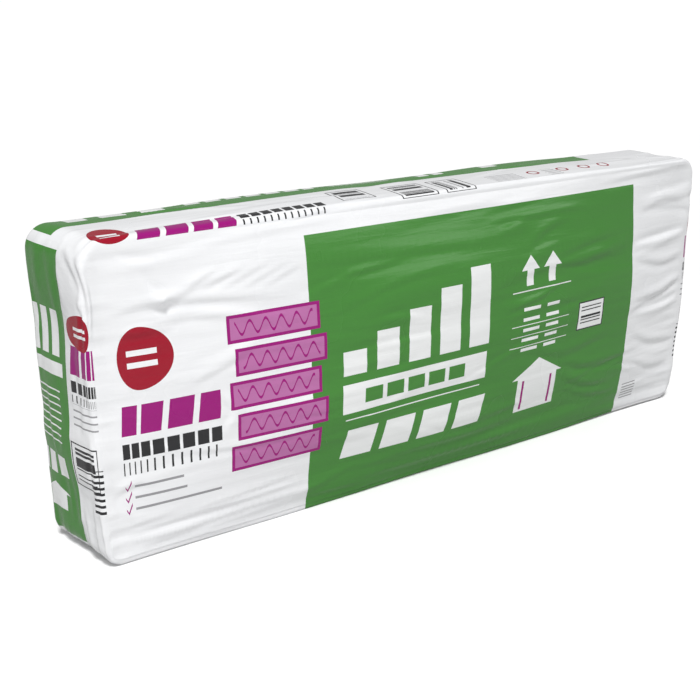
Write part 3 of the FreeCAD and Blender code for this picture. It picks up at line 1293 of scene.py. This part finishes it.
@dataclass(frozen=True)
class Studio:
    """Pale floor, plain soft light and the camera."""

    bag_length: float
    bag_width: float
    camera_offset: tuple[float, float, float] = (-0.3271, -1.0227, 0.6607)
    look_down: float = 19.84
    heading: float = 33.42
    lens: float = 54.25
    key_direction: tuple[float, float, float] = (-0.20, -0.33, 0.92)
    key_strength: float = 2.7
    key_spread: float = 14.0
    sky: float = 0.31
    panel_power: float = 6.5
    panel_place: tuple[float, float, float] = (-0.80, -1.40, 0.60)
    sheen_power: float = 11.0
    sheen_place: tuple[float, float, float] = (1.9, -2.3, 1.25)

    def camera(self) -> None:
        """Place the camera: its offset is in bag lengths from the front's bottom left corner."""
        lens = bpy.data.cameras.new("camera")
        lens.lens = self.lens
        lens.sensor_width = 36.0
        holder = bpy.data.objects.new("camera", lens)
        across, deep, up = self.camera_offset
        holder.location = (self.bag_length * (across - 0.5),
                           self.bag_length * deep - self.bag_width / 2, self.bag_length * up)
        holder.rotation_euler = (math.radians(90.0 - self.look_down), 0.0,
                                 math.radians(-self.heading))
        bpy.context.scene.collection.objects.link(holder)
        bpy.context.scene.camera = holder

    def light(self) -> None:
        """A broad high sun from the front, and an even white sky that the camera sees as white."""
        sun = bpy.data.lights.new("key", "SUN")
        sun.energy = self.key_strength
        sun.angle = math.radians(self.key_spread)
        holder = bpy.data.objects.new("key", sun)
        down, deep, up = self.key_direction
        holder.rotation_euler = (math.acos(up / math.sqrt(down ** 2 + deep ** 2 + up ** 2)), 0.0,
                                 math.atan2(deep, down) + math.pi / 2)
        bpy.context.scene.collection.objects.link(holder)
        near = self.panel("near_panel", self.panel_power, (0.9, 0.9), self.panel_place,
                          (-0.45, -0.10, 0.20))
        sheen = self.panel("sheen_strip", self.sheen_power, (2.2, 0.6), self.sheen_place,
                           (0.10, -0.10, 0.30))
        sheen.visible_diffuse = False
        near.visible_glossy = False
        world = bpy.data.worlds.new("studio")
        bpy.context.scene.world = world
        world.use_nodes = True
        nodes, links = world.node_tree.nodes, world.node_tree.links
        ray = nodes.new("ShaderNodeLightPath")
        seen = nodes.new("ShaderNodeMath")
        seen.operation = "MAXIMUM"
        links.new(ray.outputs["Is Camera Ray"], seen.inputs[0])
        links.new(ray.outputs["Is Transmission Ray"], seen.inputs[1])
        level = nodes.new("ShaderNodeMapRange")
        level.inputs["To Min"].default_value = self.sky
        level.inputs["To Max"].default_value = 1.0
        links.new(seen.outputs[0], level.inputs["Value"])
        links.new(level.outputs["Result"], nodes["Background"].inputs["Strength"])
        nodes["Background"].inputs["Color"].default_value = (1.0, 1.0, 1.0, 1.0)

    @staticmethod
    def panel(name: str, power: float, size: tuple[float, float],
              place: tuple[float, float, float],
              target: tuple[float, float, float]) -> bpy.types.Object:
        """Add one flat lamp that faces a target.

        Args:
            name: the lamp's name.
            power: in watts.
            size: width and height in metres.
            place: where it stands.
            target: what it faces.

        Returns:
            The lamp.
        """
        lamp = bpy.data.lights.new(name, "AREA")
        lamp.shape = "RECTANGLE"
        lamp.size, lamp.size_y = size
        lamp.energy = power
        stand = bpy.data.objects.new(name, lamp)
        stand.location = place
        aim = Vector(target) - Vector(place)
        stand.rotation_euler = aim.to_track_quat("-Z", "Y").to_euler()
        bpy.context.scene.collection.objects.link(stand)
        return stand

    def floor(self) -> None:
        """A wide flat floor, nearly white, that takes the bag's soft shadow."""
        reach = 60.0
        points = np.array([(-reach, -reach, 0.0), (reach, -reach, 0.0),
                           (reach, reach, 0.0), (-reach, reach, 0.0)])
        piece = mesh_object("floor", points, np.array([[0, 1, 2, 3]]))
        made = bpy.data.materials.new("floor")
        made.use_nodes = True
        nodes, links = made.node_tree.nodes, made.node_tree.links
        shader = nodes["Principled BSDF"]
        shader.inputs["Roughness"].default_value = 1.0
        shader.inputs["Specular IOR Level"].default_value = 0.0
        ray = nodes.new("ShaderNodeLightPath")
        seen = FilmFinish.mix(made, ray.outputs["Is Camera Ray"],
                              (0.55, 0.55, 0.55), (0.93, 0.93, 0.93))
        links.new(seen, shader.inputs["Base Color"])
        piece.data.materials.append(made)


# --------------------------------------------------------------------------- assembly


def build_skin(material: bpy.types.Material) -> BagSkin:
    """Build the printed skin in the space of its CAD node.

    Args:
        material: the film's finish.

    Returns:
        The skin's sizes, for the pieces that it presses.
    """
    low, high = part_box("film_bag")
    size = high - low
    stray = tuple(crease for zone in STRAY_CREASES for crease in zone.creases())
    skin = BagSkin(length=size.x, width=size.y, height=size.z,
                   creases=FRONT_CREASES + END_CREASES + stray)
    piece = skin.build()
    piece.data.materials.append(material)
    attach(piece, "root")
    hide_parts("film_bag")
    LOG.info("%s: %d faces", piece.name, len(piece.data.polygons))
    return skin


def build_batts(skin: BagSkin, material: bpy.types.Material) -> None:
    """Build every batt inside the skin, in the space of its CAD node.

    Args:
        skin: the bag's sizes.
        material: the wool's finish.
    """
    for name in sorted(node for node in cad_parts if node.startswith("batt_")):
        low, high = (np.array(corner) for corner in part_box(name))
        piece = FoldedBatt(name, low, high, skin).build()
        piece.data.materials.append(material)
        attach(piece, "root")
        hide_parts(name)
        LOG.info("%s: %d faces", piece.name, len(piece.data.polygons))


def main() -> None:
    """Build the bag, its batts and the studio."""
    logging.basicConfig(level=logging.INFO, format="%(name)s: %(message)s")
    bpy.context.scene.view_settings.view_transform = "Standard"
    low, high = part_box("film_bag")
    layout = PrintLayout(top_edge=high.z - low.z, end_edge=low.x)
    grain = stretched_grain_group()
    skin = build_skin(FilmFinish(layout.node_group(), grain).material())
    build_batts(skin, WoolFinish(grain).material())
    studio = Studio(bag_length=skin.length, bag_width=skin.width)
    studio.camera()
    studio.light()
    studio.floor()


if __name__ == "__main__":
    main()
